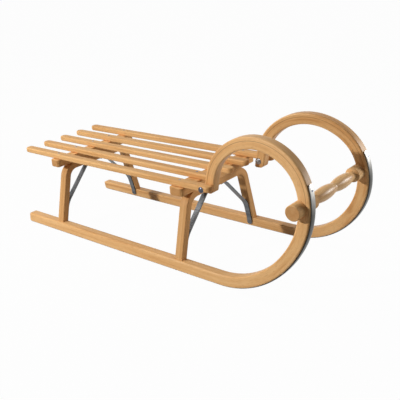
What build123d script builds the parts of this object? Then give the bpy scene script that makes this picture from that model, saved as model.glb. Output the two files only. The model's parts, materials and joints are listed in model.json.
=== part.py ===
from build123d import *
from collections import namedtuple
from math import cos, radians, sin
import os

os.makedirs("parts", exist_ok=True)

# Driving dimensions, millimetres. X is forward, Y is to the sled's left, Z is up.
length = 1111.3
steel_thickness = 3.0
steel_width = 20.0
steel_end_radius = 7.5
curve_gap = 0.3

# Runner section: half track at the sole, width, depth, and inward lean per millimetre of height
sole_half_track = 197.9
runner_width = 28.7
runner_depth = 30.5
horn_bulk = 33.3
tip_depth = 30.5
lean = 0.1236
runner_edge = 4.5
rear_corner = 14.5
rear_nose = 13.8
tip_corner = 9.0

# Horn: its outer profile leaves the straight base and turns up and back in tangent arcs
bend_from_rear = 846.8
toe_radius = 261.9
rise_radius = 273.0
front_radius = 212.0
shoulder_radius = 148.5
crown_radius = 174.0
fall_radius = 178.0
back_radius = 180.9
tip_heading = 270.0
curl_start = 60.0
curl_power = 2.875
tip_gap = 1.5
steel_top_heading = 114.0
straight_lead = 40.0

# Trestle bows, their feet flush with the runners' inner sides
front_trestle_from_rear = 696.5
rear_trestle_from_rear = 171.5
bow_width = 27.5
bow_thickness = 22.5
bow_splay = 0.26
bow_top = 220.0
bow_outer_radius = 52.0
bow_edge = 2.5
tenon_x = 18.0
tenon_y = 12.0
tenon_depth = 16.0

# Cross rails and slats
front_rail_width = 47.0
rear_rail_width = 38.0
rail_setback = 3.0
rail_overhang = 10.5
rail_height = 24.5
rail_end_radius = 9.0
rail_low_edge = 4.0
rail_top_edge = 1.5
slat_width = 28.0
slat_thickness = 17.0
slat_pitch = 75.3
slat_edge = 5.0
slat_end_radius = 13.0
slat_start = 1.5
inner_slat_end = 764.5
outer_slat_end = 804.5

# Steel braces
brace_width = 17.0
brace_thickness = 4.0
brace_foot_bend = 40.0
brace_knee_bend = 80.0
brace_tab_bend = 34.0
brace_foot_height = 8.0
brace_foot_corner = 7.0
brace_knee_height = 88.0
brace_top_half = 44.0
brace_tab = 26.0

# Turned crossbar between the horns
bar_heading = 94.0
bar_inset = 29.5
bar_end_radius = 20.3
bar_end_bevel = 1.5
bar_overhang = 30.5
bar_shoulder_run = 6.0
bar_bulge_radius = 18.0
bar_neck_radius = 12.5
bar_neck_lead = 13.0
bar_neck_fillet = 16.0

# Heights and places that follow from the sizes above
rear_x = -length / 2
sole_z = steel_thickness
bend_x = rear_x + bend_from_rear
runner_top = sole_z + runner_depth
bow_top_z = sole_z + bow_top
rail_top_z = bow_top_z + rail_height
foot_inner_half = sole_half_track - lean * runner_depth - runner_width
bow_foot_half = foot_inner_half + bow_thickness
outer_slat_inner = 2 * slat_pitch - slat_width / 2
rail_half_length = 2 * slat_pitch + slat_width / 2 + rail_overhang

Hand = namedtuple("Hand", "name sign")
HANDS = (Hand("right", -1), Hand("left", 1))

Trestle = namedtuple("Trestle", "name from_rear rail_width")
TRESTLES = (
    Trestle("front", front_trestle_from_rear, front_rail_width),
    Trestle("rear", rear_trestle_from_rear, rear_rail_width),
)

Slat = namedtuple("Slat", "name row end")
SLATS = (
    Slat("outer_right", -2, outer_slat_end),
    Slat("inner_right", -1, inner_slat_end),
    Slat("middle", 0, inner_slat_end),
    Slat("inner_left", 1, inner_slat_end),
    Slat("outer_left", 2, outer_slat_end),
)

Arc = namedtuple("Arc", "radius end_heading")
HORN_ARCS = (
    Arc(toe_radius, 34.0),
    Arc(rise_radius, 66.0),
    Arc(front_radius, 100.0),
    Arc(shoulder_radius, 140.0),
    Arc(crown_radius, 180.0),
    Arc(fall_radius, 225.0),
    Arc(back_radius, tip_heading),
)

# Headings of the sections; a negative one is a place that many millimetres behind the bend
RUNNER_STATIONS = (-straight_lead, 0, 6, 15, 30, 45, 60, 75, 90, 105, 125, 150, 180, 210, 240, tip_heading)
STEEL_STATIONS = RUNNER_STATIONS[:12]


def profile_point(heading):
    """Outer profile point of the horn at a heading in degrees, as x and z."""
    x = bend_x + min(heading, 0.0)
    z = sole_z
    start = 0.0
    for arc in HORN_ARCS:
        end = min(heading, arc.end_heading)
        if end > start:
            x += arc.radius * (sin(radians(end)) - sin(radians(start)))
            z += arc.radius * (cos(radians(start)) - cos(radians(end)))
        start = arc.end_heading
    return x, z


tip_x, tip_z = profile_point(tip_heading)
curl_shift = sole_half_track - lean * (tip_z - sole_z) - (outer_slat_inner - tip_gap)


def horn_depth(heading):
    """Depth of the runner at a heading: it grows up the bend and thins again past the top."""
    grown = min(max(heading / 50.0, 0.0), 1.0)
    thinned = max((heading - 150.0) / (tip_heading - 150.0), 0.0)
    return runner_depth + (horn_bulk - runner_depth) * grown + (tip_depth - horn_bulk) * thinned


def outer_y(z, heading):
    """Half track of the runner's outer side at a height and heading: lean plus the horn's curl."""
    share = max(heading - curl_start, 0.0) / (tip_heading - curl_start)
    return sole_half_track - lean * (z - sole_z) - curl_shift * share ** curl_power


def section_plane(heading):
    """Plane across the horn: its x runs along Y and its y points into the ring."""
    x, z = profile_point(heading)
    h = radians(max(heading, 0.0))
    return Plane(origin=(x, 0, z), x_dir=(0, 1, 0), z_dir=(cos(h), 0, sin(h)))


def section_corners(heading, hand, low, high, inset):
    """Corners of a band across the horn between two depths, inset from both sides."""
    z = profile_point(heading)[1]
    rise = cos(radians(max(heading, 0.0)))
    corners = []
    for depth, across in ((low, 0.0), (low, 1.0), (high, 1.0), (high, 0.0)):
        y = outer_y(z + depth * rise, heading) - inset - across * (runner_width - 2 * inset)
        corners.append(Vector(hand.sign * y, depth))
    return corners


def eased(corners, radius, chords):
    """The same outline with every corner eased by a few chords of a quarter circle."""
    points = []
    for i, corner in enumerate(corners):
        back = (corners[i - 1] - corner).normalized() * radius
        on = (corners[(i + 1) % len(corners)] - corner).normalized() * radius
        centre = corner + back + on
        for k in range(chords + 1):
            turn = radians(90.0 * k / chords)
            points.append(centre - on * cos(turn) - back * sin(turn))
    return points


Crown = namedtuple("Crown", "share drop")
STEEL_CROWN = (
    Crown(0.00, 1.90),
    Crown(0.05, 1.20),
    Crown(0.14, 0.55),
    Crown(0.27, 0.15),
    Crown(0.40, 0.00),
    Crown(0.60, 0.00),
    Crown(0.73, 0.15),
    Crown(0.86, 0.55),
    Crown(0.95, 1.20),
    Crown(1.00, 1.90),
)


def crowned(corners):
    """A strip's outline with its outer side crowned by a few chords."""
    near, far, far_in, near_in = corners
    up = (near_in - near).normalized()
    points = [near + (far - near) * crown.share + up * crown.drop for crown in STEEL_CROWN]
    return points + [far_in, near_in]


def across_plane(x, z):
    """Plane facing forward at a place along the sled: its x runs along Y and its y runs up."""
    return Plane(origin=(x, 0, z), x_dir=(0, 1, 0), z_dir=(1, 0, 0))


# Runners: straight base, horn, rounded ends, mortises for the bow feet, a notch for the crossbar
bar_front_x, bar_front_z = profile_point(bar_heading)
bar_x = bar_front_x - bar_inset * sin(radians(bar_heading))
bar_z = bar_front_z + bar_inset * cos(radians(bar_heading))
bar_horn_out = outer_y(bar_z, bar_heading)
Corner = namedtuple("Corner", "x z into_x into_z radius")
END_CORNERS = (
    Corner(rear_x, sole_z, 1, 1, rear_corner),
    Corner(rear_x, runner_top, 1, -1, rear_corner),
    Corner(tip_x, tip_z, 1, 1, tip_corner),
    Corner(tip_x + tip_depth, tip_z, -1, 1, tip_corner),
)
for hand in HANDS:
    with BuildPart() as runner:
        with BuildSketch(across_plane(rear_x, sole_z)):
            with BuildLine():
                Polyline(*eased(section_corners(0, hand, 0, runner_depth, 0), runner_edge, 3), close=True)
            make_face()
        extrude(amount=bend_from_rear - straight_lead)
        with BuildPart() as horn:
            for heading in RUNNER_STATIONS:
                with BuildSketch(section_plane(heading)):
                    with BuildLine():
                        outline = section_corners(heading, hand, 0, horn_depth(heading), 0)
                        Polyline(*eased(outline, runner_edge, 3), close=True)
                    make_face()
            loft()
        for corner in END_CORNERS:
            side_y = hand.sign * outer_y(corner.z, tip_heading if corner.z > runner_top else 0.0)
            with BuildPart(mode=Mode.SUBTRACT):
                r = corner.radius
                shift = (r - 1) / 2
                with Locations((corner.x + corner.into_x * shift, side_y, corner.z + corner.into_z * shift)):
                    Box(r + 1, 4 * runner_width, r + 1)
                with Locations((corner.x + corner.into_x * r, side_y, corner.z + corner.into_z * r)):
                    Cylinder(r, 5 * runner_width, rotation=(90, 0, 0), mode=Mode.SUBTRACT)
        nose_y = hand.sign * (outer_y(sole_z + runner_depth / 2, 0) - runner_width / 2)
        for turn in (-1, 1):
            flank_y = nose_y + turn * runner_width / 2
            with BuildPart(mode=Mode.SUBTRACT):
                n = rear_nose
                with Locations((rear_x + n / 2 - 2, flank_y - turn * (n / 2 - 2), sole_z)):
                    Box(n + 4, n + 4, 4 * runner_depth)
                with Locations((rear_x + n, flank_y - turn * n, sole_z)):
                    Cylinder(n, 5 * runner_depth, mode=Mode.SUBTRACT)
        for trestle in TRESTLES:
            foot_y = hand.sign * (bow_foot_half - bow_thickness / 2)
            with Locations((rear_x + trestle.from_rear, foot_y, runner_top)):
                Box(tenon_x, tenon_y, 2 * tenon_depth, mode=Mode.SUBTRACT)
        with Locations((bar_x, hand.sign * (bar_horn_out - runner_width / 2), bar_z)):
            Cylinder(bar_end_radius + curve_gap, 3 * runner_width, rotation=(90, 0, 0), mode=Mode.SUBTRACT)
    runner.part.label = "runner_" + hand.name
    export_step(runner.part, "parts/runner_" + hand.name + ".step")

# Runner steels: a flat band under the base that turns up the front of the horn
for hand in HANDS:
    inset = (runner_width - steel_width) / 2
    with BuildPart() as steel:
        with BuildSketch(across_plane(rear_x + rear_corner, sole_z)):
            with BuildLine():
                flat = section_corners(0, hand, -steel_thickness, 0, inset)
                Polyline(*crowned(flat), close=True)
            make_face()
        extrude(amount=bend_from_rear - rear_corner - straight_lead)
        with BuildPart() as rise:
            for heading in STEEL_STATIONS:
                with BuildSketch(section_plane(heading)):
                    with BuildLine():
                        strip = section_corners(heading, hand, -steel_thickness, -curve_gap, inset)
                        Polyline(*crowned(strip), close=True)
                    make_face()
            loft()
            split(bisect_by=section_plane(steel_top_heading), keep=Keep.BOTTOM)
        end_x, end_z = profile_point(steel_top_heading)
        out = radians(steel_top_heading)
        middle_y = hand.sign * (outer_y(end_z, steel_top_heading) - runner_width / 2)
        face = Plane(origin=(end_x, middle_y, end_z), x_dir=(0, 1, 0), z_dir=(sin(out), 0, -cos(out)))
        for turn in (-1, 1):
            with BuildPart(face, mode=Mode.SUBTRACT):
                r = steel_end_radius
                half = steel_width / 2
                with Locations((turn * (half - r / 2 + 1), 1 - r / 2)):
                    Box(r + 2, r + 2, 6 * steel_thickness)
                with Locations((turn * (half - r), -r)):
                    Cylinder(r, 7 * steel_thickness, mode=Mode.SUBTRACT)
    steel.part.label = "runner_steel_" + hand.name
    export_step(steel.part, "parts/runner_steel_" + hand.name + ".step")

# Trestle bows: bent inverted U with splayed legs and a tenon under each foot
rise_to_top = bow_top_z - runner_top
top_half = bow_foot_half - bow_splay * rise_to_top
inner_rise = rise_to_top - bow_thickness
inner_top = foot_inner_half - bow_splay * inner_rise
for trestle in TRESTLES:
    with BuildPart() as bow:
        with BuildSketch(across_plane(rear_x + trestle.from_rear - bow_width / 2, runner_top)):
            with BuildLine():
                Polyline(
                    (-bow_foot_half, 0),
                    (-top_half, rise_to_top),
                    (top_half, rise_to_top),
                    (bow_foot_half, 0),
                    close=True,
                )
            outline = make_face()
            fillet(outline.vertices().sort_by(Axis.Z)[2:], bow_outer_radius)
            with BuildSketch(mode=Mode.SUBTRACT):
                with BuildLine():
                    Polyline(
                        (-foot_inner_half, 0),
                        (-inner_top, inner_rise),
                        (inner_top, inner_rise),
                        (foot_inner_half, 0),
                        close=True,
                    )
                arch = make_face()
                fillet(arch.vertices().sort_by(Axis.Y)[2:], bow_outer_radius - bow_thickness)
        extrude(amount=bow_width)
        rims = bow.faces().filter_by(Axis.X).edges()
        fillet(rims.filter_by(lambda e: e.center().Z > runner_top + bow_edge), bow_edge)
        for hand in HANDS:
            foot_y = hand.sign * (bow_foot_half - bow_thickness / 2)
            with Locations((rear_x + trestle.from_rear, foot_y, runner_top)):
                Box(tenon_x, tenon_y, tenon_depth, align=(Align.CENTER, Align.CENTER, Align.MAX))
    bow.part.label = "trestle_bow_" + trestle.name
    export_step(bow.part, "parts/trestle_bow_" + trestle.name + ".step")

# Cross rails lying on the bows
for trestle in TRESTLES:
    with BuildPart() as rail:
        with Locations((rear_x + trestle.from_rear - rail_setback, 0, bow_top_z)):
            size = (trestle.rail_width, 2 * rail_half_length, rail_height)
            Box(*size, align=(Align.CENTER, Align.CENTER, Align.MIN))
        fillet(rail.edges().filter_by(Axis.Z), rail_end_radius)
        fillet(rail.faces().sort_by(Axis.Z)[0].edges(), rail_low_edge)
        fillet(rail.faces().sort_by(Axis.Z)[-1].edges(), rail_top_edge)
    rail.part.label = "cross_rail_" + trestle.name
    export_step(rail.part, "parts/cross_rail_" + trestle.name + ".step")

# Slats
for row in SLATS:
    with BuildPart() as slat:
        long = row.end - slat_start
        with Locations((rear_x + slat_start + long / 2, row.row * slat_pitch, rail_top_z)):
            Box(long, slat_width, slat_thickness, align=(Align.CENTER, Align.CENTER, Align.MIN))
        fillet(slat.edges().filter_by(Axis.Z), slat_end_radius)
        for face in (slat.faces().sort_by(Axis.Z)[0], slat.faces().sort_by(Axis.Z)[-1]):
            fillet(face.edges(), slat_edge)
    slat.part.label = "slat_" + row.name
    export_step(slat.part, "parts/slat_" + row.name + ".step")

# Steel braces from the runners' inner sides to the underside of the bows
arch_z = bow_top_z - bow_thickness
foot_z = sole_z + brace_foot_height
knee_z = sole_z + brace_knee_height
BRACE_PATH = (
    (outer_y(foot_z, 0) - runner_width, foot_z),
    (foot_inner_half, runner_top),
    (foot_inner_half - bow_splay * (knee_z - runner_top), knee_z),
    (brace_top_half, arch_z),
    (brace_top_half - brace_tab, arch_z),
)
for trestle in TRESTLES:
    for hand in HANDS:
        with BuildPart() as brace:
            with BuildSketch(across_plane(rear_x + trestle.from_rear - brace_width / 2, 0)):
                with BuildLine():
                    path = [(hand.sign * y, z) for y, z in BRACE_PATH]
                    bends = (brace_foot_bend, brace_knee_bend, brace_tab_bend)
                    edge = FilletPolyline(*path, radius=bends)
                    inboard = Side.LEFT if hand.sign > 0 else Side.RIGHT
                    offset(edge, amount=brace_thickness, side=inboard, closed=True)
                make_face()
            extrude(amount=brace_width)
            low = brace.edges().filter_by(lambda e: e.center().Z < foot_z + 1)
            fillet(low.filter_by(lambda e: e.length < brace_thickness + 1), brace_foot_corner)
        brace.part.label = "brace_" + trestle.name + "_" + hand.name
        export_step(brace.part, "parts/brace_" + trestle.name + "_" + hand.name + ".step")

# Crossbar, turned about Y: plain ends through the horns, two bulges and three necks between
bar_end = bar_horn_out + bar_overhang
bar_shoulder = bar_horn_out - runner_width - bar_overhang
bar_neck = bar_shoulder - bar_neck_lead
with BuildPart() as bar:
    with BuildSketch(across_plane(bar_x, bar_z)):
        with BuildLine():
            for hand in HANDS:
                side = hand.sign
                Polyline(
                    (side * bar_end, 0),
                    (side * bar_end, bar_end_radius - bar_end_bevel),
                    (side * (bar_end - bar_end_bevel), bar_end_radius),
                    (side * bar_shoulder, bar_end_radius),
                    (side * (bar_shoulder - bar_shoulder_run), bar_neck_radius),
                    (side * bar_neck, bar_neck_radius),
                )
                ThreePointArc(
                    (side * bar_neck, bar_neck_radius),
                    (side * bar_neck / 2, bar_bulge_radius),
                    (0, bar_neck_radius),
                )
            Line((-bar_end, 0), (bar_end, 0))
        turned = make_face()
        necks = turned.vertices().filter_by(lambda v: abs(v.Y) < 1 and v.Z > bar_z + 1)
        fillet(necks, bar_neck_fillet)
    revolve(axis=Axis((bar_x, 0, bar_z), (0, 1, 0)))
bar.part.label = "crossbar"
export_step(bar.part, "parts/crossbar.step")
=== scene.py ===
"""Looks of a wooden horn sled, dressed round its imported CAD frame. Lengths are in metres."""

import json
import logging
import math
from collections.abc import Callable
from dataclasses import dataclass
from enum import Enum

import bmesh
import bpy
import numpy as np
from mathutils import Matrix, Vector

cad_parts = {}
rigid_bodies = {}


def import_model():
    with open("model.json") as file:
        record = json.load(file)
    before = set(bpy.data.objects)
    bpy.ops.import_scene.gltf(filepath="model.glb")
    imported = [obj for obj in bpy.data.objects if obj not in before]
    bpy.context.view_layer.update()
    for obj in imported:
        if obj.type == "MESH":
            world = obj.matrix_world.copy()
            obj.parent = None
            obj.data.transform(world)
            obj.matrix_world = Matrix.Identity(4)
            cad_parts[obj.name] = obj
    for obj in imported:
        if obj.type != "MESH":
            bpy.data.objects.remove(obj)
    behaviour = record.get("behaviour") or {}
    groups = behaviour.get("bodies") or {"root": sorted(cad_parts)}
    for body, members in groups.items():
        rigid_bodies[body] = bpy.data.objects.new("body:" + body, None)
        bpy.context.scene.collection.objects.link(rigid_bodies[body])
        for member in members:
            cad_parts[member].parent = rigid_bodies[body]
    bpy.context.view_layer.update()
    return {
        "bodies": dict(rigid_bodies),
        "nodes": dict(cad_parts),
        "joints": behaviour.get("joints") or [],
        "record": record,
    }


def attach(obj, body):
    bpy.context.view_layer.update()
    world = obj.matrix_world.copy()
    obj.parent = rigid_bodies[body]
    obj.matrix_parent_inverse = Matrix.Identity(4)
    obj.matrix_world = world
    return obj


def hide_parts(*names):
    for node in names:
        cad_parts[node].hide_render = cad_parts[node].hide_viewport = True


log = logging.getLogger("horn_sled")

GRAIN = "grain"
CUT_END = "cut_end"
FACING = "facing"
TURN = "turn"
PATH_STEP = 0.002
HEADING_STEP = 0.4
WOOD_SHARP_ANGLE = 42.0
HEAD_SHARP_ANGLE = 35.0
SCREW_TURN_STEP = 0.7
Colour = tuple[float, float, float]


class Grain(Enum):
    """Which way a wooden piece's fibres run."""

    ALONG_X = "along_x"
    ALONG_Y = "along_y"
    BENT = "bent"


class Head(Enum):
    """Shapes of the heads that show on the fasteners."""

    CROSS = "cross_screw"
    DOME = "dome_bolt"
    NUT = "hex_nut"


def linear(red: int, green: int, blue: int) -> Colour:
    """Turns a display colour into a linear one.

    Args:
        red: Red from 0 to 255.
        green: Green from 0 to 255.
        blue: Blue from 0 to 255.

    Returns:
        The same colour in linear light.
    """
    shares = (red / 255, green / 255, blue / 255)
    return tuple(s / 12.92 if s <= 0.04045 else ((s + 0.055) / 1.055) ** 2.4 for s in shares)


@dataclass
class NodeBench:
    """A node tree with short calls that add, feed and link its nodes."""

    tree: bpy.types.NodeTree

    def add(self, kind: str, **settings: object) -> bpy.types.Node:
        """Adds a node.

        Args:
            kind: The node's type name.
            settings: Properties to set on it.

        Returns:
            The new node.
        """
        node = self.tree.nodes.new(kind)
        for key, value in settings.items():
            setattr(node, key, value)
        return node

    def feed(self, socket: bpy.types.NodeSocket, value: object) -> None:
        """Links a socket to another one, or sets its value.

        Args:
            socket: The input socket.
            value: An output socket, or a plain value.
        """
        if isinstance(value, bpy.types.NodeSocket):
            self.tree.links.new(value, socket)
        else:
            socket.default_value = value

    def sum(self, operation: str, *values: object) -> bpy.types.NodeSocket:
        """Works on numbers with a Math node.

        Args:
            operation: The Math node's operation.
            values: Sockets or numbers.

        Returns:
            The result's socket.
        """
        node = self.add("ShaderNodeMath", operation=operation)
        for slot, value in zip(node.inputs, values):
            self.feed(slot, value)
        return node.outputs[0]

    def scaled(self, vector: bpy.types.NodeSocket, by: Colour) -> bpy.types.NodeSocket:
        """Multiplies a vector by another, axis by axis.

        Args:
            vector: The vector's socket.
            by: The three factors.

        Returns:
            The scaled vector's socket.
        """
        node = self.add("ShaderNodeVectorMath", operation="MULTIPLY")
        self.feed(node.inputs[0], vector)
        self.feed(node.inputs[1], by)
        return node.outputs[0]

    def parts(self, vector: bpy.types.NodeSocket) -> bpy.types.NodeOutputs:
        """Splits a vector.

        Args:
            vector: The vector's socket.

        Returns:
            Its X, Y and Z sockets by name.
        """
        node = self.add("ShaderNodeSeparateXYZ")
        self.feed(node.inputs[0], vector)
        return node.outputs

    def showing_rays(self) -> bpy.types.NodeSocket:
        """Tells the rays that show a white room from those that light the sled.

        Returns:
            A socket that is 1 for camera, glossy and transmission rays.
        """
        seen = self.add("ShaderNodeLightPath").outputs
        mirrored = self.sum("ADD", seen["Is Glossy Ray"], seen["Is Transmission Ray"])
        return self.sum("MINIMUM", self.sum("ADD", seen["Is Camera Ray"], mirrored), 1.0)

    def noise(self, vector: bpy.types.NodeSocket, by: Colour, detail: float = 2.0) -> bpy.types.NodeSocket:
        """Noise stretched by a frequency on each axis.

        Args:
            vector: The place's socket, in metres.
            by: Waves to the metre on each axis.
            detail: Octaves of finer noise.

        Returns:
            The noise value's socket, around a half.
        """
        node = self.add("ShaderNodeTexNoise")
        self.feed(node.inputs["Vector"], self.scaled(vector, by))
        node.inputs["Scale"].default_value = 1.0
        node.inputs["Detail"].default_value = detail
        return node.outputs["Fac"]

    def ramp(self, fac: bpy.types.NodeSocket,
             stops: tuple[tuple[float, Colour], ...]) -> bpy.types.NodeSocket:
        """Maps a number to a colour.

        Args:
            fac: The number's socket.
            stops: Places from 0 to 1 with their colours.

        Returns:
            The colour's socket.
        """
        node = self.add("ShaderNodeValToRGB")
        elements = node.color_ramp.elements
        while len(elements) < len(stops):
            elements.new(0.5)
        for element, (place, colour) in zip(elements, stops):
            element.position = place
            element.color = (*colour, 1.0)
        self.feed(node.inputs["Fac"], fac)
        return node.outputs["Color"]

    def between(self, value: bpy.types.NodeSocket, low: float, high: float,
                out_low: float = 0.0, out_high: float = 1.0) -> bpy.types.NodeSocket:
        """Maps one range of numbers smoothly onto another.

        Args:
            value: The number's socket.
            low: Where the range starts.
            high: Where the range ends.
            out_low: Result at the start.
            out_high: Result at the end.

        Returns:
            The result's socket.
        """
        node = self.add("ShaderNodeMapRange", interpolation_type="SMOOTHSTEP")
        self.feed(node.inputs["Value"], value)
        node.inputs["From Min"].default_value = low
        node.inputs["From Max"].default_value = high
        node.inputs["To Min"].default_value = out_low
        node.inputs["To Max"].default_value = out_high
        return node.outputs["Result"]

    def shade(self, colour: object, other: object, fac: object, blend: str = "MIX") -> bpy.types.NodeSocket:
        """Mixes two colours.

        Args:
            colour: The first colour or its socket.
            other: The second colour or its socket.
            fac: How much of the second, as a number or a socket.
            blend: The Mix node's blend type.

        Returns:
            The mixed colour's socket.
        """
        node = self.add("ShaderNodeMix", data_type="RGBA", blend_type=blend)
        self.feed(node.inputs["Factor"], fac)
        for slot, value in zip((s for s in node.inputs if s.type == "RGBA"), (colour, other)):
            self.feed(slot, value if isinstance(value, bpy.types.NodeSocket) else (*value, 1.0))
        return next(s for s in node.outputs if s.type == "RGBA")


@dataclass(frozen=True)
class WoodFinish:
    """Pale wood under clear satin lacquer.

    The figure is drawn in grain space: x runs along the fibres, y across the piece, z through its depth.
    """

    name: str
    grain: Grain
    pale: Colour = linear(233, 186, 128)
    honey: Colour = linear(225, 174, 114)
    deep: Colour = linear(198, 140, 80)
    fleck: Colour = linear(166, 108, 54)
    glue: Colour = linear(134, 84, 40)
    glue_depths: tuple[float, ...] = ()
    glue_from: float = 0.0
    glue_half_width: float = 0.0011
    glue_share: float = 0.6
    glue_fade: float = 0.08
    band_waves: Colour = (2.6, 95.0, 95.0)
    tone_waves: Colour = (1.7, 9.0, 9.0)
    fibre_waves: Colour = (16.0, 780.0, 780.0)
    fleck_waves: Colour = (70.0, 620.0, 620.0)
    drift_waves: Colour = (2.2, 6.0, 6.0)
    drift: Colour = (0.0, 0.02, 0.02)
    band_share: float = 0.62
    fleck_share: float = 0.34
    fibre_share: float = 0.26
    end_share: float = 0.55
    smooth: float = 0.44
    rough: float = 0.54
    sheen: float = 0.12
    bump: float = 0.000014
    dull_ends: float = 0.0
    dull_from: float = 1.0
    dull_fade: float = 0.006

    def material(self) -> bpy.types.Material:
        """Builds the lacquered wood.

        Returns:
            The finished material.
        """
        material = bpy.data.materials.new(self.name)
        material.use_nodes = True
        bench = NodeBench(material.node_tree)
        shader = material.node_tree.nodes["Principled BSDF"]
        grain, end = self.grain_space(bench)
        bands = bench.noise(self.meander(bench, grain), self.band_waves, 3.0)
        tone = bench.noise(grain, self.tone_waves)
        fibre = bench.noise(grain, self.fibre_waves)
        fleck = bench.between(bench.noise(grain, self.fleck_waves, 1.0), 0.63, 0.71)
        figure = bench.sum("ADD", bench.sum("MULTIPLY", bands, self.band_share),
                           bench.sum("MULTIPLY", tone, 1.0 - self.band_share))
        colour = bench.ramp(figure, ((0.34, self.deep), (0.48, self.honey), (0.62, self.pale)))
        colour = bench.shade(colour, self.fleck, bench.sum("MULTIPLY", fleck, self.fleck_share))
        colour = bench.shade(colour, self.deep, bench.between(fibre, 0.5, 0.68, 0.0, self.fibre_share))
        colour = bench.shade(colour, self.fleck, bench.sum("MULTIPLY", end, self.end_share))
        for depth in self.glue_depths:
            colour = bench.shade(colour, self.glue, self.glue_line(bench, grain, depth))
        rough = bench.between(bands, 0.35, 0.65, self.smooth, self.rough)
        if self.dull_ends:
            off = bench.sum("ABSOLUTE", bench.parts(grain)["X"])
            dull = bench.between(off, self.dull_from, self.dull_from + self.dull_fade, 0.0, self.dull_ends)
            rough = bench.sum("MAXIMUM", rough, dull)
        bump = bench.add("ShaderNodeBump")
        bump.inputs["Distance"].default_value = self.bump
        bench.feed(bump.inputs["Height"], bench.sum("ADD", fibre, bench.sum("MULTIPLY", bands, 0.8)))
        bench.feed(shader.inputs["Base Color"], colour)
        bench.feed(shader.inputs["Roughness"], rough)
        bench.feed(shader.inputs["Normal"], bump.outputs["Normal"])
        shader.inputs["Specular IOR Level"].default_value = self.sheen
        return material

    def grain_space(self, bench: NodeBench) -> tuple[bpy.types.NodeSocket, bpy.types.NodeSocket]:
        """Finds the place in grain space, and how far a face is cut across the fibres.

        Args:
            bench: The material's nodes.

        Returns:
            The place's socket, and a socket that is 1 on end grain.
        """
        if self.grain is Grain.BENT:
            place = bench.add("ShaderNodeAttribute", attribute_name=GRAIN)
            cut = bench.add("ShaderNodeAttribute", attribute_name=CUT_END)
            return place.outputs["Vector"], cut.outputs["Fac"]
        where = bench.add("ShaderNodeTexCoord").outputs
        facing = bench.parts(where["Normal"])
        along = "X" if self.grain is Grain.ALONG_X else "Y"
        end = bench.between(bench.sum("ABSOLUTE", facing[along]), 0.6, 0.95)
        if self.grain is Grain.ALONG_X:
            return where["Object"], end
        place = bench.parts(where["Object"])
        turned = bench.add("ShaderNodeCombineXYZ")
        for axis, source in zip("XYZ", "YXZ"):
            bench.feed(turned.inputs[axis], place[source])
        return turned.outputs[0], end

    def meander(self, bench: NodeBench, grain: bpy.types.NodeSocket) -> bpy.types.NodeSocket:
        """Lets the growth bands wander a few millimetres off straight.

        Args:
            bench: The material's nodes.
            grain: The place's socket.

        Returns:
            The shifted place's socket.
        """
        drift = bench.add("ShaderNodeTexNoise")
        bench.feed(drift.inputs["Vector"], bench.scaled(grain, self.drift_waves))
        drift.inputs["Scale"].default_value = 1.0
        shift = bench.add("ShaderNodeVectorMath", operation="MULTIPLY_ADD")
        bench.feed(shift.inputs[0], drift.outputs["Color"])
        shift.inputs[1].default_value = self.drift
        bench.feed(shift.inputs[2], grain)
        return shift.outputs[0]

    def glue_line(self, bench: NodeBench, grain: bpy.types.NodeSocket, depth: float) -> bpy.types.NodeSocket:
        """Draws the joint between two bent strips.

        Args:
            bench: The material's nodes.
            grain: The place's socket.
            depth: The joint's depth below the outer profile.

        Returns:
            A socket that is 0 away from the joint and highest on it.
        """
        place = bench.parts(grain)
        off = bench.sum("ABSOLUTE", bench.sum("SUBTRACT", place["Z"], depth))
        line = bench.between(off, self.glue_half_width * 0.4, self.glue_half_width, self.glue_share, 0.0)
        reach = bench.between(place["X"], self.glue_from, self.glue_from + self.glue_fade)
        return bench.sum("MULTIPLY", line, reach)


@dataclass(frozen=True)
class SteelFinish:
    """Bare steel with rolling streaks and small stains, which can carry painted shade towards the bottom and
    on its side faces.
    """

    name: str
    light: Colour
    dark: Colour
    smooth: float
    rough: float
    streak_waves: Colour = (9.0, 420.0, 60.0)
    stain_waves: Colour = (38.0, 38.0, 38.0)
    bump: float = 0.00003
    # Painted shade: the steel can be darkened towards the bottom and on its side faces.
    low_shade_share: float = 1.0
    low_shade_heights: tuple[float, float] = (0.24, 0.33)
    side_shade_share: float = 0.0
    side_shade_colour: Colour = linear(24, 22, 20)

    def material(self) -> bpy.types.Material:
        """Builds the steel.

        Returns:
            The finished material.
        """
        material = bpy.data.materials.new(self.name)
        material.use_nodes = True
        bench = NodeBench(material.node_tree)
        shader = material.node_tree.nodes["Principled BSDF"]
        where = bench.add("ShaderNodeTexCoord").outputs
        streaks = bench.noise(where["Object"], self.streak_waves, 3.0)
        stains = bench.noise(where["Object"], self.stain_waves, 4.0)
        mixed = bench.sum("ADD", bench.sum("MULTIPLY", streaks, 0.5), bench.sum("MULTIPLY", stains, 0.5))
        colour = bench.ramp(mixed, ((0.36, self.dark), (0.62, self.light)))
        # Painted shade: darker towards the bottom, standing in for the dimmer reflection low down.
        low_shade_factor = bench.between(bench.parts(where["Object"])["Z"], *self.low_shade_heights, self.low_shade_share, 1.0)
        colour = bench.shade(colour, low_shade_factor, 1.0, "MULTIPLY")
        # Painted shade: faces whose normal turns sideways are darkened towards a near-black colour.
        sideways = bench.sum("ABSOLUTE", bench.parts(where["Normal"])["Y"])
        edge = bench.between(sideways, 0.28, 0.6, 0.0, self.side_shade_share)
        colour = bench.shade(colour, self.side_shade_colour, edge)
        bench.feed(shader.inputs["Base Color"], colour)
        bench.feed(shader.inputs["Roughness"], bench.between(mixed, 0.35, 0.65, self.smooth, self.rough))
        bump = bench.add("ShaderNodeBump")
        bump.inputs["Distance"].default_value = self.bump
        bench.feed(bump.inputs["Height"], streaks)
        bench.feed(shader.inputs["Normal"], bump.outputs["Normal"])
        shader.inputs["Metallic"].default_value = 1.0
        return material


def paint(piece: bpy.types.Object, finish: bpy.types.Material) -> None:
    """Gives a whole piece one finish.

    Args:
        piece: The piece.
        finish: Its only material.
    """
    piece.data.materials.clear()
    piece.data.materials.append(finish)


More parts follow.
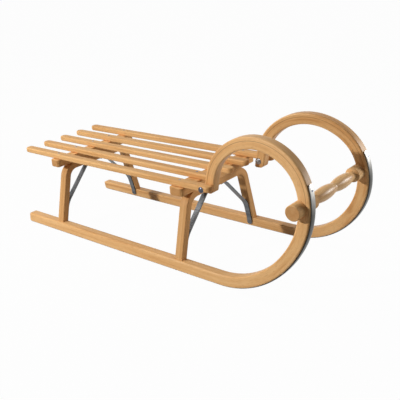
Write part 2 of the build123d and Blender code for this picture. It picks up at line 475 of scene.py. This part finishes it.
def merged_copy(node: bpy.types.Object, name: str,
                shape: Callable[[bmesh.types.BMesh], None] | None = None) -> bpy.types.Object:
    """Copies a CAD node as one closed mesh with smooth rounded edges.

    Args:
        node: The CAD node's object.
        name: The new piece's name.
        shape: A last change to the merged mesh, if any.

    Returns:
        The new piece, linked into the scene.
    """
    work = bmesh.new()
    work.from_mesh(node.data)
    bmesh.ops.remove_doubles(work, verts=work.verts, dist=1e-6)
    if shape is not None:
        shape(work)
    mesh = bpy.data.meshes.new(name)
    work.to_mesh(mesh)
    work.free()
    stale = mesh.attributes.get("custom_normal")
    if stale is not None:
        mesh.attributes.remove(stale)
    mesh.shade_smooth()
    mesh.set_sharp_from_angle(angle=math.radians(WOOD_SHARP_ANGLE))
    piece = bpy.data.objects.new(name, mesh)
    bpy.context.scene.collection.objects.link(piece)
    ease = piece.modifiers.new("ease", "WEIGHTED_NORMAL")
    ease.keep_sharp = True
    graph = bpy.context.evaluated_depsgraph_get()
    piece.data = bpy.data.meshes.new_from_object(piece.evaluated_get(graph))
    piece.modifiers.clear()
    return piece


def corners(mesh: bpy.types.Mesh) -> np.ndarray:
    """Reads a mesh's vertex places.

    Args:
        mesh: The mesh.

    Returns:
        One row of x, y and z for each vertex.
    """
    flat = np.empty(len(mesh.vertices) * 3)
    mesh.vertices.foreach_get("co", flat)
    return flat.reshape(-1, 3)


@dataclass
class BentPath:
    """The outer line of a bent piece in its own plane, with the normals that point into the wood."""

    points: np.ndarray
    inward: np.ndarray

    def runs(self) -> np.ndarray:
        """Measures the distance along the path at each of its points."""
        steps = np.linalg.norm(np.diff(self.points, axis=0), axis=1)
        return np.concatenate(([0.0], np.cumsum(steps)))

    def length(self) -> float:
        """Measures the whole path."""
        return float(self.runs()[-1])

    def places(self, flat: np.ndarray, thickest: float) -> tuple[np.ndarray, np.ndarray]:
        """Finds how far along the bend, and how deep in the wood, points lie.

        Args:
            flat: Points in the path's plane.
            thickest: More than the piece's depth.

        Returns:
            The distance along the path and the depth, for each point.
        """
        offset = flat[:, None, :] - self.points[None]
        depth = np.einsum("ijk,jk->ij", offset, self.inward)
        slip = np.linalg.norm(offset - depth[..., None] * self.inward[None], axis=2)
        slip[(depth < -0.002) | (depth > thickest)] += 1.0
        nearest = np.argmin(slip, axis=1)
        rows = np.arange(len(flat))
        return self.runs()[nearest], depth[rows, nearest]


def store_grain(mesh: bpy.types.Mesh, along: np.ndarray, across: np.ndarray, depth: np.ndarray,
                length: float, shift: float, end_reach: float = 0.004) -> None:
    """Stores each vertex's place in grain space and how near it is to a sawn end.

    Args:
        mesh: The mesh to mark.
        along: Distance along the fibres.
        across: Distance across the piece.
        depth: Distance below the outer line.
        length: The bent piece's whole length.
        shift: Distance added across the piece, so that no two pieces share a figure.
        end_reach: How far from an end the sawn fibres still show.
    """
    grain = np.stack((along, across + shift, depth), axis=1)
    place = mesh.attributes.new(GRAIN, "FLOAT_VECTOR", "POINT")
    place.data.foreach_set("vector", grain.astype(np.float32).ravel())
    from_end = np.minimum(along, length - along)
    cut = mesh.attributes.new(CUT_END, "FLOAT", "POINT")
    cut.data.foreach_set("value", np.clip(1.0 - from_end / end_reach, 0.0, 1.0).astype(np.float32))


@dataclass
class HornRunner:
    """A runner that turns up and back into a ring-shaped horn."""

    hand: str
    sign: int
    rear_x: float = -0.55565
    sole_z: float = 0.003
    bend_from_rear: float = 0.8468
    depth: float = 0.036
    heel: float = 0.0152
    heel_rings: int = 8
    heel_sweep: float = 85.0
    figure_shift: float = 0.31
    arcs: tuple[tuple[float, float], ...] = (
        (0.2619, 34.0),
        (0.2730, 66.0),
        (0.2120, 100.0),
        (0.1485, 140.0),
        (0.1740, 180.0),
        (0.1780, 225.0),
        (0.1809, 270.0),
    )

    def path(self) -> BentPath:
        """Follows the outer line from the rear end to the horn's tip.

        Returns:
            The line in the x and z plane.
        """
        base = np.arange(0.0, self.bend_from_rear, PATH_STEP)
        points = [np.array((self.rear_x + run, self.sole_z)) for run in base]
        inward = [np.array((0.0, 1.0)) for _ in base]
        x = self.rear_x + self.bend_from_rear
        z = self.sole_z
        start = 0.0
        for radius, end in self.arcs:
            for heading in np.arange(start, end, HEADING_STEP):
                turn = math.radians(heading)
                first = math.radians(start)
                points.append(np.array((x + radius * (math.sin(turn) - math.sin(first)),
                                        z + radius * (math.cos(first) - math.cos(turn)))))
                inward.append(np.array((-math.sin(turn), math.cos(turn))))
            x += radius * (math.sin(math.radians(end)) - math.sin(math.radians(start)))
            z += radius * (math.cos(math.radians(start)) - math.cos(math.radians(end)))
            start = end
        points.append(np.array((x, z)))
        inward.append(np.array((-math.sin(math.radians(start)), math.cos(math.radians(start)))))
        return BentPath(np.array(points), np.array(inward))

    def round_heel(self, work: bmesh.types.BMesh) -> None:
        """Sands the rear end to a soft nose.

        Args:
            work: The runner's merged mesh.
        """
        start_x = self.rear_x + self.heel
        whole = work.verts[:] + work.edges[:] + work.faces[:]
        cut = bmesh.ops.bisect_plane(work, geom=whole, plane_co=(start_x, 0, 0), plane_no=(-1, 0, 0),
                                     clear_outer=True)
        ring = [item for item in cut["geom_cut"] if isinstance(item, bmesh.types.BMEdge)]
        rim = {vert for edge in ring for vert in edge.verts}
        middle = sum((vert.co for vert in rim), Vector()) / len(rim)
        width = 1.0
        for step in range(1, self.heel_rings + 1):
            turn = math.radians(self.heel_sweep) * step / self.heel_rings
            grown = bmesh.ops.extrude_edge_only(work, edges=ring)["geom"]
            rim = {item for item in grown if isinstance(item, bmesh.types.BMVert)}
            ring = [item for item in grown
                    if isinstance(item, bmesh.types.BMEdge) and rim.issuperset(item.verts)]
            for vert in rim:
                vert.co = middle + (vert.co - middle) * (math.cos(turn) / width)
                vert.co.x = start_x - self.heel * math.sin(turn)
            width = math.cos(turn)
        bmesh.ops.contextual_create(work, geom=ring)
        bmesh.ops.recalc_face_normals(work, faces=work.faces)

    def build(self, node: bpy.types.Object, wood: bpy.types.Material) -> bpy.types.Object:
        """Dresses the runner with fibres that follow the bend.

        Args:
            node: The runner's CAD node.
            wood: The lacquered wood.

        Returns:
            The dressed runner.
        """
        piece = merged_copy(node, "bent_runner_" + self.hand, self.round_heel)
        place = corners(piece.data)
        path = self.path()
        along, depth = path.places(place[:, (0, 2)], self.depth)
        shift = self.figure_shift * self.sign
        store_grain(piece.data, along, np.abs(place[:, 1]), depth, path.length(), shift, self.heel)
        paint(piece, wood)
        return piece


@dataclass
class TrestleBow:
    """A bentwood bow that carries one cross rail."""

    place: str
    shift: float
    foot_z: float = 0.0335
    top_z: float = 0.223
    foot_half: float = 0.18793
    tenon: float = 0.016
    splay: float = 0.26
    bend_radius: float = 0.052
    depth: float = 0.03

    def path(self) -> BentPath:
        """Follows the outer line from the right foot over the top to the left foot.

        Returns:
            The line in the y and z plane.
        """
        rise = self.top_z - self.foot_z
        top_half = self.foot_half - self.splay * rise
        lean = math.atan(self.splay)
        turn = math.pi / 2 - lean
        tangent = self.bend_radius * math.tan(turn / 2)
        leg = np.array((math.sin(lean), math.cos(lean)))
        bend_start = np.array((-top_half, self.top_z)) - leg * tangent
        centre = bend_start + self.bend_radius * np.array((leg[1], -leg[0]))
        foot = np.array((-self.foot_half, self.foot_z - self.tenon))
        run = np.linalg.norm(bend_start - foot)
        side = np.array((leg[1], -leg[0]))
        points = [foot + leg * step for step in np.arange(0.0, run, PATH_STEP)]
        inward = [side for _ in points]
        for sweep in np.linspace(0.0, turn, 24):
            angle = math.pi - lean - sweep
            spoke = np.array((math.cos(angle), math.sin(angle)))
            points.append(centre + self.bend_radius * spoke)
            inward.append(-spoke)
        last = points[-1][0]
        for y in np.arange(last, 0.0, PATH_STEP):
            points.append(np.array((y, self.top_z)))
            inward.append(np.array((0.0, -1.0)))
        mirror = np.array((-1.0, 1.0))
        points += [point * mirror for point in points[::-1]]
        inward += [normal * mirror for normal in inward[::-1]]
        return BentPath(np.array(points), np.array(inward))

    def build(self, node: bpy.types.Object, wood: bpy.types.Material) -> bpy.types.Object:
        """Dresses the bow with fibres that follow its bends.

        Args:
            node: The bow's CAD node.
            wood: The lacquered wood.

        Returns:
            The dressed bow.
        """
        piece = merged_copy(node, "bent_bow_" + self.place)
        place = corners(piece.data)
        path = self.path()
        along, depth = path.places(place[:, (1, 2)], self.depth)
        store_grain(piece.data, along, place[:, 0], depth, path.length(), self.shift)
        paint(piece, wood)
        return piece


@dataclass
class TurnedBar:
    """The turned bar between the horns, whose left end stands out less than the right one."""

    left_end: float = 0.1962
    trim: float = 0.0145
    end_run: float = 0.01

    def cut_back(self, work: bmesh.types.BMesh) -> None:
        """Draws the left end in.

        Args:
            work: The bar's merged mesh.
        """
        for vert in work.verts:
            if vert.co.y > self.left_end - self.end_run:
                vert.co.y -= self.trim

    def build(self, node: bpy.types.Object, wood: bpy.types.Material) -> bpy.types.Object:
        """Dresses the bar.

        Args:
            node: The bar's CAD node.
            wood: The lacquered wood.

        Returns:
            The dressed bar.
        """
        piece = merged_copy(node, "turned_bar", self.cut_back)
        paint(piece, wood)
        return piece


@dataclass(frozen=True)
class FastenerRow:
    """Like fasteners with one head shape and one finish."""

    name: str
    head: Head
    radius: float
    height: float
    recess: float
    slot: str
    look: str
    places: tuple[tuple[Vector, Vector], ...]


@dataclass
class Fasteners:
    """Screw heads, bolt heads and nuts, set on the faces they hold together.

    Shares are of the head's radius or height.
    """

    screw_sides: int = 24
    screw_top_share: float = 0.8
    recess_length_share: float = 1.1
    recess_depth_share: float = 1.2
    dome_sides: int = 28
    dome_rings: int = 16
    nut_sides: int = 6
    washer_sides: int = 28
    washer_width_share: float = 1.25
    washer_height_share: float = 0.22
    bolt_sides: int = 20
    bolt_height_share: float = 1.45

    def tree(self, head: Head) -> tuple[bpy.types.NodeTree, dict[str, str]]:
        """Builds the node tree that sets one head shape on marked points.

        Args:
            head: The head's shape.

        Returns:
            The tree, and its input identifiers by name.
        """
        tree = bpy.data.node_groups.new(head.value + "_row", "GeometryNodeTree")
        inputs = {}
        tree.interface.new_socket("Points", in_out="INPUT", socket_type="NodeSocketGeometry")
        for label in ("Head Radius", "Head Height", "Recess Width"):
            socket = tree.interface.new_socket(label, in_out="INPUT", socket_type="NodeSocketFloat")
            inputs[label] = socket.identifier
        socket = tree.interface.new_socket("Finish", in_out="INPUT", socket_type="NodeSocketMaterial")
        inputs["Finish"] = socket.identifier
        tree.interface.new_socket("Heads", in_out="OUTPUT", socket_type="NodeSocketGeometry")
        bench = NodeBench(tree)
        start = bench.add("NodeGroupInput")
        shape = {Head.CROSS: self.cross, Head.DOME: self.dome, Head.NUT: self.nut}[head](bench, start)
        facing = bench.add("GeometryNodeInputNamedAttribute", data_type="FLOAT_VECTOR")
        facing.inputs["Name"].default_value = FACING
        aligned = bench.add("FunctionNodeAlignRotationToVector", axis="Z")
        bench.feed(aligned.inputs["Vector"], facing.outputs["Attribute"])
        turn = bench.add("GeometryNodeInputNamedAttribute", data_type="FLOAT")
        turn.inputs["Name"].default_value = TURN
        spin = bench.add("FunctionNodeAxisAngleToRotation")
        bench.feed(spin.inputs["Angle"], turn.outputs["Attribute"])
        turned = bench.add("FunctionNodeRotateRotation", rotation_space="LOCAL")
        bench.feed(turned.inputs["Rotation"], aligned.outputs[0])
        bench.feed(turned.inputs["Rotate By"], spin.outputs[0])
        spread = bench.add("GeometryNodeInstanceOnPoints")
        bench.feed(spread.inputs["Points"], start.outputs["Points"])
        bench.feed(spread.inputs["Instance"], shape)
        bench.feed(spread.inputs["Rotation"], turned.outputs[0])
        real = bench.add("GeometryNodeRealizeInstances")
        bench.feed(real.inputs[0], spread.outputs[0])
        paint = bench.add("GeometryNodeSetMaterial")
        bench.feed(paint.inputs["Geometry"], real.outputs[0])
        bench.feed(paint.inputs["Material"], start.outputs["Finish"])
        bench.feed(bench.add("NodeGroupOutput").inputs[0], paint.outputs[0])
        return tree, inputs

    def lifted(self, bench: NodeBench, shape: bpy.types.NodeSocket, lift: object) -> bpy.types.NodeSocket:
        """Moves a shape up its own axis.

        Args:
            bench: The tree's nodes.
            shape: The shape's socket.
            lift: The distance.

        Returns:
            The moved shape's socket.
        """
        offset = bench.add("ShaderNodeCombineXYZ")
        bench.feed(offset.inputs["Z"], lift)
        moved = bench.add("GeometryNodeTransform")
        bench.feed(moved.inputs["Geometry"], shape)
        bench.feed(moved.inputs["Translation"], offset.outputs[0])
        return moved.outputs[0]

    def block(self, bench: NodeBench, size: tuple[object, object, object]) -> bpy.types.NodeSocket:
        """Makes a block.

        Args:
            bench: The tree's nodes.
            size: Its three sides, as sockets or numbers.

        Returns:
            The block's socket.
        """
        sides = bench.add("ShaderNodeCombineXYZ")
        for socket, side in zip(sides.inputs, size):
            bench.feed(socket, side)
        cube = bench.add("GeometryNodeMeshCube")
        bench.feed(cube.inputs["Size"], sides.outputs[0])
        return cube.outputs["Mesh"]

    def less(self, bench: NodeBench, shape: bpy.types.NodeSocket,
             *cutters: bpy.types.NodeSocket) -> bpy.types.NodeSocket:
        """Cuts shapes out of another.

        Args:
            bench: The tree's nodes.
            shape: The shape to cut.
            cutters: The shapes to take away.

        Returns:
            The cut shape's socket.
        """
        for cutter in cutters:
            cut = bench.add("GeometryNodeMeshBoolean", operation="DIFFERENCE", solver="EXACT")
            bench.feed(cut.inputs["Mesh 1"], shape)
            bench.feed(cut.inputs["Mesh 2"], cutter)
            shape = cut.outputs["Mesh"]
        return shape

    def cross(self, bench: NodeBench, start: bpy.types.Node) -> bpy.types.NodeSocket:
        """Makes a low screw head with a cross recess.

        Args:
            bench: The tree's nodes.
            start: The tree's inputs.

        Returns:
            The head's socket, its foot at zero.
        """
        radius = start.outputs["Head Radius"]
        height = start.outputs["Head Height"]
        width = start.outputs["Recess Width"]
        cone = bench.add("GeometryNodeMeshCone")
        cone.inputs["Vertices"].default_value = self.screw_sides
        bench.feed(cone.inputs["Radius Bottom"], radius)
        bench.feed(cone.inputs["Radius Top"], bench.sum("MULTIPLY", radius, self.screw_top_share))
        bench.feed(cone.inputs["Depth"], height)
        arm = bench.sum("MULTIPLY", radius, self.recess_length_share)
        deep = bench.sum("MULTIPLY", height, self.recess_depth_share)
        first = self.lifted(bench, self.block(bench, (arm, width, deep)), height)
        second = self.lifted(bench, self.block(bench, (width, arm, deep)), height)
        return self.less(bench, cone.outputs["Mesh"], first, second)

    def dome(self, bench: NodeBench, start: bpy.types.Node) -> bpy.types.NodeSocket:
        """Makes a domed bolt head.

        Args:
            bench: The tree's nodes.
            start: The tree's inputs.

        Returns:
            The head's socket, its foot at zero.
        """
        radius = start.outputs["Head Radius"]
        ball = bench.add("GeometryNodeMeshUVSphere")
        ball.inputs["Segments"].default_value = self.dome_sides
        ball.inputs["Rings"].default_value = self.dome_rings
        bench.feed(ball.inputs["Radius"], radius)
        flat = bench.add("ShaderNodeCombineXYZ")
        flat.inputs["X"].default_value = 1.0
        flat.inputs["Y"].default_value = 1.0
        bench.feed(flat.inputs["Z"], bench.sum("DIVIDE", start.outputs["Head Height"], radius))
        squat = bench.add("GeometryNodeTransform")
        bench.feed(squat.inputs["Geometry"], ball.outputs["Mesh"])
        bench.feed(squat.inputs["Scale"], flat.outputs[0])
        side = bench.sum("MULTIPLY", radius, 4.0)
        below = self.lifted(bench, self.block(bench, (side, side, side)), bench.sum("MULTIPLY", radius, -2.0))
        return self.less(bench, squat.outputs[0], below)

    def nut(self, bench: NodeBench, start: bpy.types.Node) -> bpy.types.NodeSocket:
        """Makes a hexagon nut on its washer, with the bolt's end standing out.

        Args:
            bench: The tree's nodes.
            start: The tree's inputs.

        Returns:
            The nut's socket, its foot at zero.
        """
        radius = start.outputs["Head Radius"]
        height = start.outputs["Head Height"]
        rounds = (
            (self.nut_sides, radius, height),
            (self.washer_sides, bench.sum("MULTIPLY", radius, self.washer_width_share),
             bench.sum("MULTIPLY", height, self.washer_height_share)),
            (self.bolt_sides, start.outputs["Recess Width"],
             bench.sum("MULTIPLY", height, self.bolt_height_share)),
        )
        joined = bench.add("GeometryNodeJoinGeometry")
        for sides, around, tall in rounds:
            rod = bench.add("GeometryNodeMeshCylinder")
            rod.inputs["Vertices"].default_value = sides
            bench.feed(rod.inputs["Radius"], around)
            bench.feed(rod.inputs["Depth"], tall)
            half = bench.sum("MULTIPLY", tall, 0.5)
            bench.feed(joined.inputs[0], self.lifted(bench, rod.outputs["Mesh"], half))
        return joined.outputs[0]

    def build(self, row: FastenerRow, steel: bpy.types.Material) -> bpy.types.Object:
        """Sets one row of fasteners as a plain mesh.

        Args:
            row: The fasteners.
            steel: Their finish.

        Returns:
            The finished piece.
        """
        mesh = bpy.data.meshes.new(row.name)
        mesh.from_pydata([place for place, _ in row.places], [], [])
        facing = mesh.attributes.new(FACING, "FLOAT_VECTOR", "POINT")
        facing.data.foreach_set("vector", [axis for _, normal in row.places for axis in normal])
        turn = mesh.attributes.new(TURN, "FLOAT", "POINT")
        turn.data.foreach_set("value", [SCREW_TURN_STEP * index for index in range(len(row.places))])
        piece = bpy.data.objects.new(row.name, mesh)
        bpy.context.scene.collection.objects.link(piece)
        tree, inputs = self.tree(row.head)
        rule = piece.modifiers.new("heads", "NODES")
        rule.node_group = tree
        rule[inputs["Head Radius"]] = row.radius
        rule[inputs["Head Height"]] = row.height
        rule[inputs["Recess Width"]] = row.recess
        rule[inputs["Finish"]] = steel
        graph = bpy.context.evaluated_depsgraph_get()
        piece.data = bpy.data.meshes.new_from_object(piece.evaluated_get(graph))
        piece.modifiers.clear()
        piece.data.shade_smooth()
        piece.data.set_sharp_from_angle(angle=math.radians(HEAD_SHARP_ANGLE))
        return piece


@dataclass
class Studio:
    """White floor, soft light and the camera."""

    azimuth: float = 42.96
    elevation: float = 20.34
    roll: float = 4.90
    distance: float = 2.00994
    target: Colour = (-0.02516, -0.00868, 0.16508)
    lens: float = 57.75
    shift: tuple[float, float] = (0.06925, -0.03275)
    floor_reach: float = 40.0
    floor_grey: float = 0.45
    floor_white: float = 0.975
    room_light: float = 0.03
    lamp_aim: Colour = (0.1, 0.0, 0.2)

    def build(self) -> None:
        """Sets the floor, the world, the lamps and the camera."""
        self.floor()
        self.world()
        self.lamps()
        self.camera()

    def camera(self) -> None:
        """Places the camera where the photograph was taken from."""
        azimuth = math.radians(self.azimuth)
        elevation = math.radians(self.elevation)
        roll = math.radians(self.roll)
        back = Vector((math.sin(azimuth) * math.cos(elevation),
                       -math.cos(azimuth) * math.cos(elevation), math.sin(elevation)))
        right = Vector((math.cos(azimuth), math.sin(azimuth), 0.0))
        up = back.cross(right)
        side = right * math.cos(roll) - up * math.sin(roll)
        over = right * math.sin(roll) + up * math.cos(roll)
        eye = bpy.data.objects.new("eye", bpy.data.cameras.new("eye"))
        eye.data.lens = self.lens
        eye.data.shift_x, eye.data.shift_y = self.shift
        place = Vector(self.target) + back * self.distance
        turn = Matrix((side, over, back)).transposed().to_4x4()
        eye.matrix_world = Matrix.Translation(place) @ turn
        bpy.context.scene.collection.objects.link(eye)
        bpy.context.scene.camera = eye

    def floor(self) -> None:
        """Lays the white floor, which keeps a soft shadow."""
        mesh = bpy.data.meshes.new("studio_floor")
        reach = self.floor_reach
        mesh.from_pydata([(-reach, -reach, 0), (reach, -reach, 0), (reach, reach, 0), (-reach, reach, 0)],
                         [], [(0, 1, 2, 3)])
        floor = bpy.data.objects.new("studio_floor", mesh)
        bpy.context.scene.collection.objects.link(floor)
        material = bpy.data.materials.new("white_floor")
        material.use_nodes = True
        bench = NodeBench(material.node_tree)
        shader = material.node_tree.nodes["Principled BSDF"]
        shader.inputs["Base Color"].default_value = (*[self.floor_grey] * 3, 1.0)
        shader.inputs["Roughness"].default_value = 0.9
        glow = bench.add("ShaderNodeEmission")
        mix = bench.add("ShaderNodeMixShader")
        bench.feed(mix.inputs["Fac"], bench.sum("MULTIPLY", bench.showing_rays(), self.floor_white))
        bench.feed(mix.inputs[1], shader.outputs[0])
        bench.feed(mix.inputs[2], glow.outputs[0])
        bench.feed(material.node_tree.nodes["Material Output"].inputs["Surface"], mix.outputs[0])
        mesh.materials.append(material)

    def world(self) -> None:
        """Fills the room with soft light that looks white to the camera."""
        world = bpy.data.worlds.new("studio")
        world.use_nodes = True
        bpy.context.scene.world = world
        bench = NodeBench(world.node_tree)
        sky = world.node_tree.nodes["Background"]
        sky.inputs["Color"].default_value = (1.0, 1.0, 1.0, 1.0)
        strength = bench.between(bench.showing_rays(), 0.0, 1.0, self.room_light, 1.0)
        bench.feed(sky.inputs["Strength"], strength)

    def lamp(self, name: str, toward: Colour, distance: float, size: tuple[float, float],
             power: float) -> None:
        """Hangs one soft panel that faces the sled.

        Args:
            name: The lamp's name.
            toward: Direction from the sled to the lamp.
            distance: How far away it hangs.
            size: Its width and height.
            power: Its power in watts.
        """
        panel = bpy.data.lights.new(name, "AREA")
        panel.shape = "RECTANGLE"
        panel.size, panel.size_y = size
        panel.energy = power
        lamp = bpy.data.objects.new(name, panel)
        away = Vector(toward).normalized()
        lamp.location = Vector(self.lamp_aim) + away * distance
        lamp.rotation_euler = away.to_track_quat("Z", "Y").to_euler()
        bpy.context.scene.collection.objects.link(lamp)

    def lamps(self) -> None:
        """Hangs the key at the sled's right, a wide panel high behind and a small one past the left horn."""
        self.lamp("key_panel", (-0.39, -0.84, 0.37), 4.0, (0.15, 0.15), 106.0)
        self.lamp("high_panel", (-0.56, -0.12, 0.82), 3.2, (1.4, 1.4), 47.0)
        self.lamp("front_panel", (0.725, 0.642, 0.227), 1.32, (0.36, 0.36), 6.8)


@dataclass
class HornSled:
    """The whole sled: which finish each piece takes, and which pieces are added."""

    frame: dict
    slat_pitch: float = 0.0753
    slat_top: float = 0.2645
    slat_screw_back: float = 0.003
    trestles: tuple[float, float] = (0.14085, -0.38415)
    bow_figure_shift: float = 0.4
    bolt_x: float = 0.22285
    bolt_z: float = 0.254
    bolt_head_y: float = 0.1646
    bolt_nut_y: float = 0.1072
    brace_foot_y: float = 0.16285
    brace_foot_z: float = 0.021
    steel_end: Colour = (0.5473, 0.1456, 0.3071)
    steel_end_normal: Colour = (0.951, 0.0, 0.309)

    def finish_for(self) -> dict[str, bpy.types.Material]:
        """Builds every finish.

        Returns:
            The materials by name.
        """
        finishes = (
            WoodFinish("bent_runner_wood", Grain.BENT, glue_depths=(0.0105,), glue_from=1.2,
                       smooth=0.36, rough=0.44, sheen=0.22),
            # Painted shade: the bows take a darker copy of the wood, standing in for the dimmer light on the
            # legs.
            WoodFinish("bent_bow_wood", Grain.BENT, pale=linear(222, 174, 118), honey=linear(212, 161, 104),
                       deep=linear(194, 139, 82)),
            WoodFinish("slat_wood", Grain.ALONG_X),
            WoodFinish("rail_wood", Grain.ALONG_Y),
            # Painted light: the bar's wood is a paler copy, standing in for brighter light on the bar.
            WoodFinish("turned_wood", Grain.ALONG_Y, pale=linear(240, 198, 142), honey=linear(232, 184, 124),
                       deep=linear(216, 162, 100), smooth=0.3, rough=0.4, sheen=0.3,
                       dull_ends=0.75, dull_from=0.088),
            # Painted shade on the sole steels: darker towards the bottom, and near black on the side faces.
            SteelFinish("bright_sole_steel", linear(206, 204, 198), linear(184, 182, 178), 0.26, 0.4,
                        low_shade_share=0.17, side_shade_share=0.95),
            SteelFinish("grey_brace_steel", linear(112, 114, 116), linear(82, 84, 86), 0.34, 0.5),
            SteelFinish("zinc_screw_steel", linear(132, 134, 144), linear(86, 88, 98), 0.24, 0.4),
            # Painted light: the bolt heads take a darker copy of the steel and the nuts a paler one, standing
            # in for darker and brighter reflections.
            SteelFinish("shaded_bolt_steel", linear(98, 100, 110), linear(62, 64, 72), 0.14, 0.24),
            SteelFinish("lit_nut_steel", linear(196, 196, 196), linear(150, 150, 152), 0.24, 0.4),
        )
        return {finish.name: finish.material() for finish in finishes}

    def dress(self) -> None:
        """Dresses the CAD nodes and adds the bent pieces and the fasteners."""
        looks = self.finish_for()
        nodes = self.frame["nodes"]
        straight = {"slat": "slat_wood", "cross_rail": "rail_wood", "brace": "grey_brace_steel"}
        for name, node in nodes.items():
            for prefix, look in straight.items():
                if name.startswith(prefix):
                    paint(node, looks[look])
                    log.info("dressed %s as %s", name, look)
        for hand, sign in (("right", -1), ("left", 1)):
            piece = HornRunner(hand, sign).build(nodes["runner_" + hand], looks["bent_runner_wood"])
            self.take(piece, "runner_" + hand)
            sole = merged_copy(nodes["runner_steel_" + hand], "crowned_steel_" + hand)
            paint(sole, looks["bright_sole_steel"])
            self.take(sole, "runner_steel_" + hand)
        for index, place in enumerate(("front", "rear")):
            bow = TrestleBow(place, self.bow_figure_shift * index)
            piece = bow.build(nodes["trestle_bow_" + place], looks["bent_bow_wood"])
            self.take(piece, "trestle_bow_" + place)
        self.take(TurnedBar().build(nodes["crossbar"], looks["turned_wood"]), "crossbar")
        maker = Fasteners()
        for row in self.fastener_rows():
            self.take(maker.build(row, looks[row.look]))

    def take(self, piece: bpy.types.Object, stands_for: str = "") -> None:
        """Hands a finished piece to the frame.

        Args:
            piece: The piece.
            stands_for: The CAD node that it replaces, if any.
        """
        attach(piece, "root")
        if stands_for:
            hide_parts(stands_for)
        log.info("built %s with %d faces", piece.name, len(piece.data.polygons))

    def fastener_rows(self) -> tuple[FastenerRow, ...]:
        """Lists the fasteners that show.

        Returns:
            The rows of like fasteners.
        """
        up = Vector((0, 0, 1))
        hands = (-1, 1)
        end_x, end_y, end_z = self.steel_end
        slat_screws = tuple((Vector((x - self.slat_screw_back, row * self.slat_pitch, self.slat_top)), up)
                            for x in self.trestles for row in (-2, -1, 0, 1, 2))
        heads = tuple((Vector((self.bolt_x, sign * self.bolt_head_y, self.bolt_z)), Vector((0, sign, 0)))
                      for sign in hands)
        nuts = tuple((Vector((self.bolt_x, sign * self.bolt_nut_y, self.bolt_z)), Vector((0, -sign, 0)))
                     for sign in hands)
        feet = tuple((Vector((x, sign * self.brace_foot_y, self.brace_foot_z)), Vector((0, -sign, 0)))
                     for x in self.trestles for sign in hands)
        tops = tuple((Vector((end_x, sign * end_y, end_z)), Vector(self.steel_end_normal))
                     for sign in hands)
        return (
            FastenerRow("steel_end_screws", Head.CROSS, 0.0036, 0.0007, 0.0012, "bright_steel",
                        "zinc_screw_steel", tops),
            FastenerRow("slat_screws", Head.CROSS, 0.0038, 0.0005, 0.0013, "bright_steel",
                        "zinc_screw_steel", slat_screws),
            # The bolt heads and nuts use a darker and a paler copy of one steel: painted shade and painted
            # light.
            FastenerRow("horn_bolt_heads", Head.DOME, 0.0085, 0.0042, 0.0, "bright_steel",
                        "shaded_bolt_steel", heads),
            FastenerRow("horn_bolt_nuts", Head.NUT, 0.0075, 0.0065, 0.004, "bright_steel",
                        "lit_nut_steel", nuts),
            FastenerRow("brace_foot_screws", Head.CROSS, 0.0045, 0.0014, 0.0015, "grey_steel",
                        "grey_brace_steel", feet),
        )


def main() -> None:
    """Loads the frame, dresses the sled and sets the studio."""
    logging.basicConfig(level=logging.INFO, format="%(message)s")
    bpy.context.scene.view_settings.view_transform = "Standard"
    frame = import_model()
    HornSled(frame).dress()
    Studio().build()


if __name__ == "__main__":
    main()
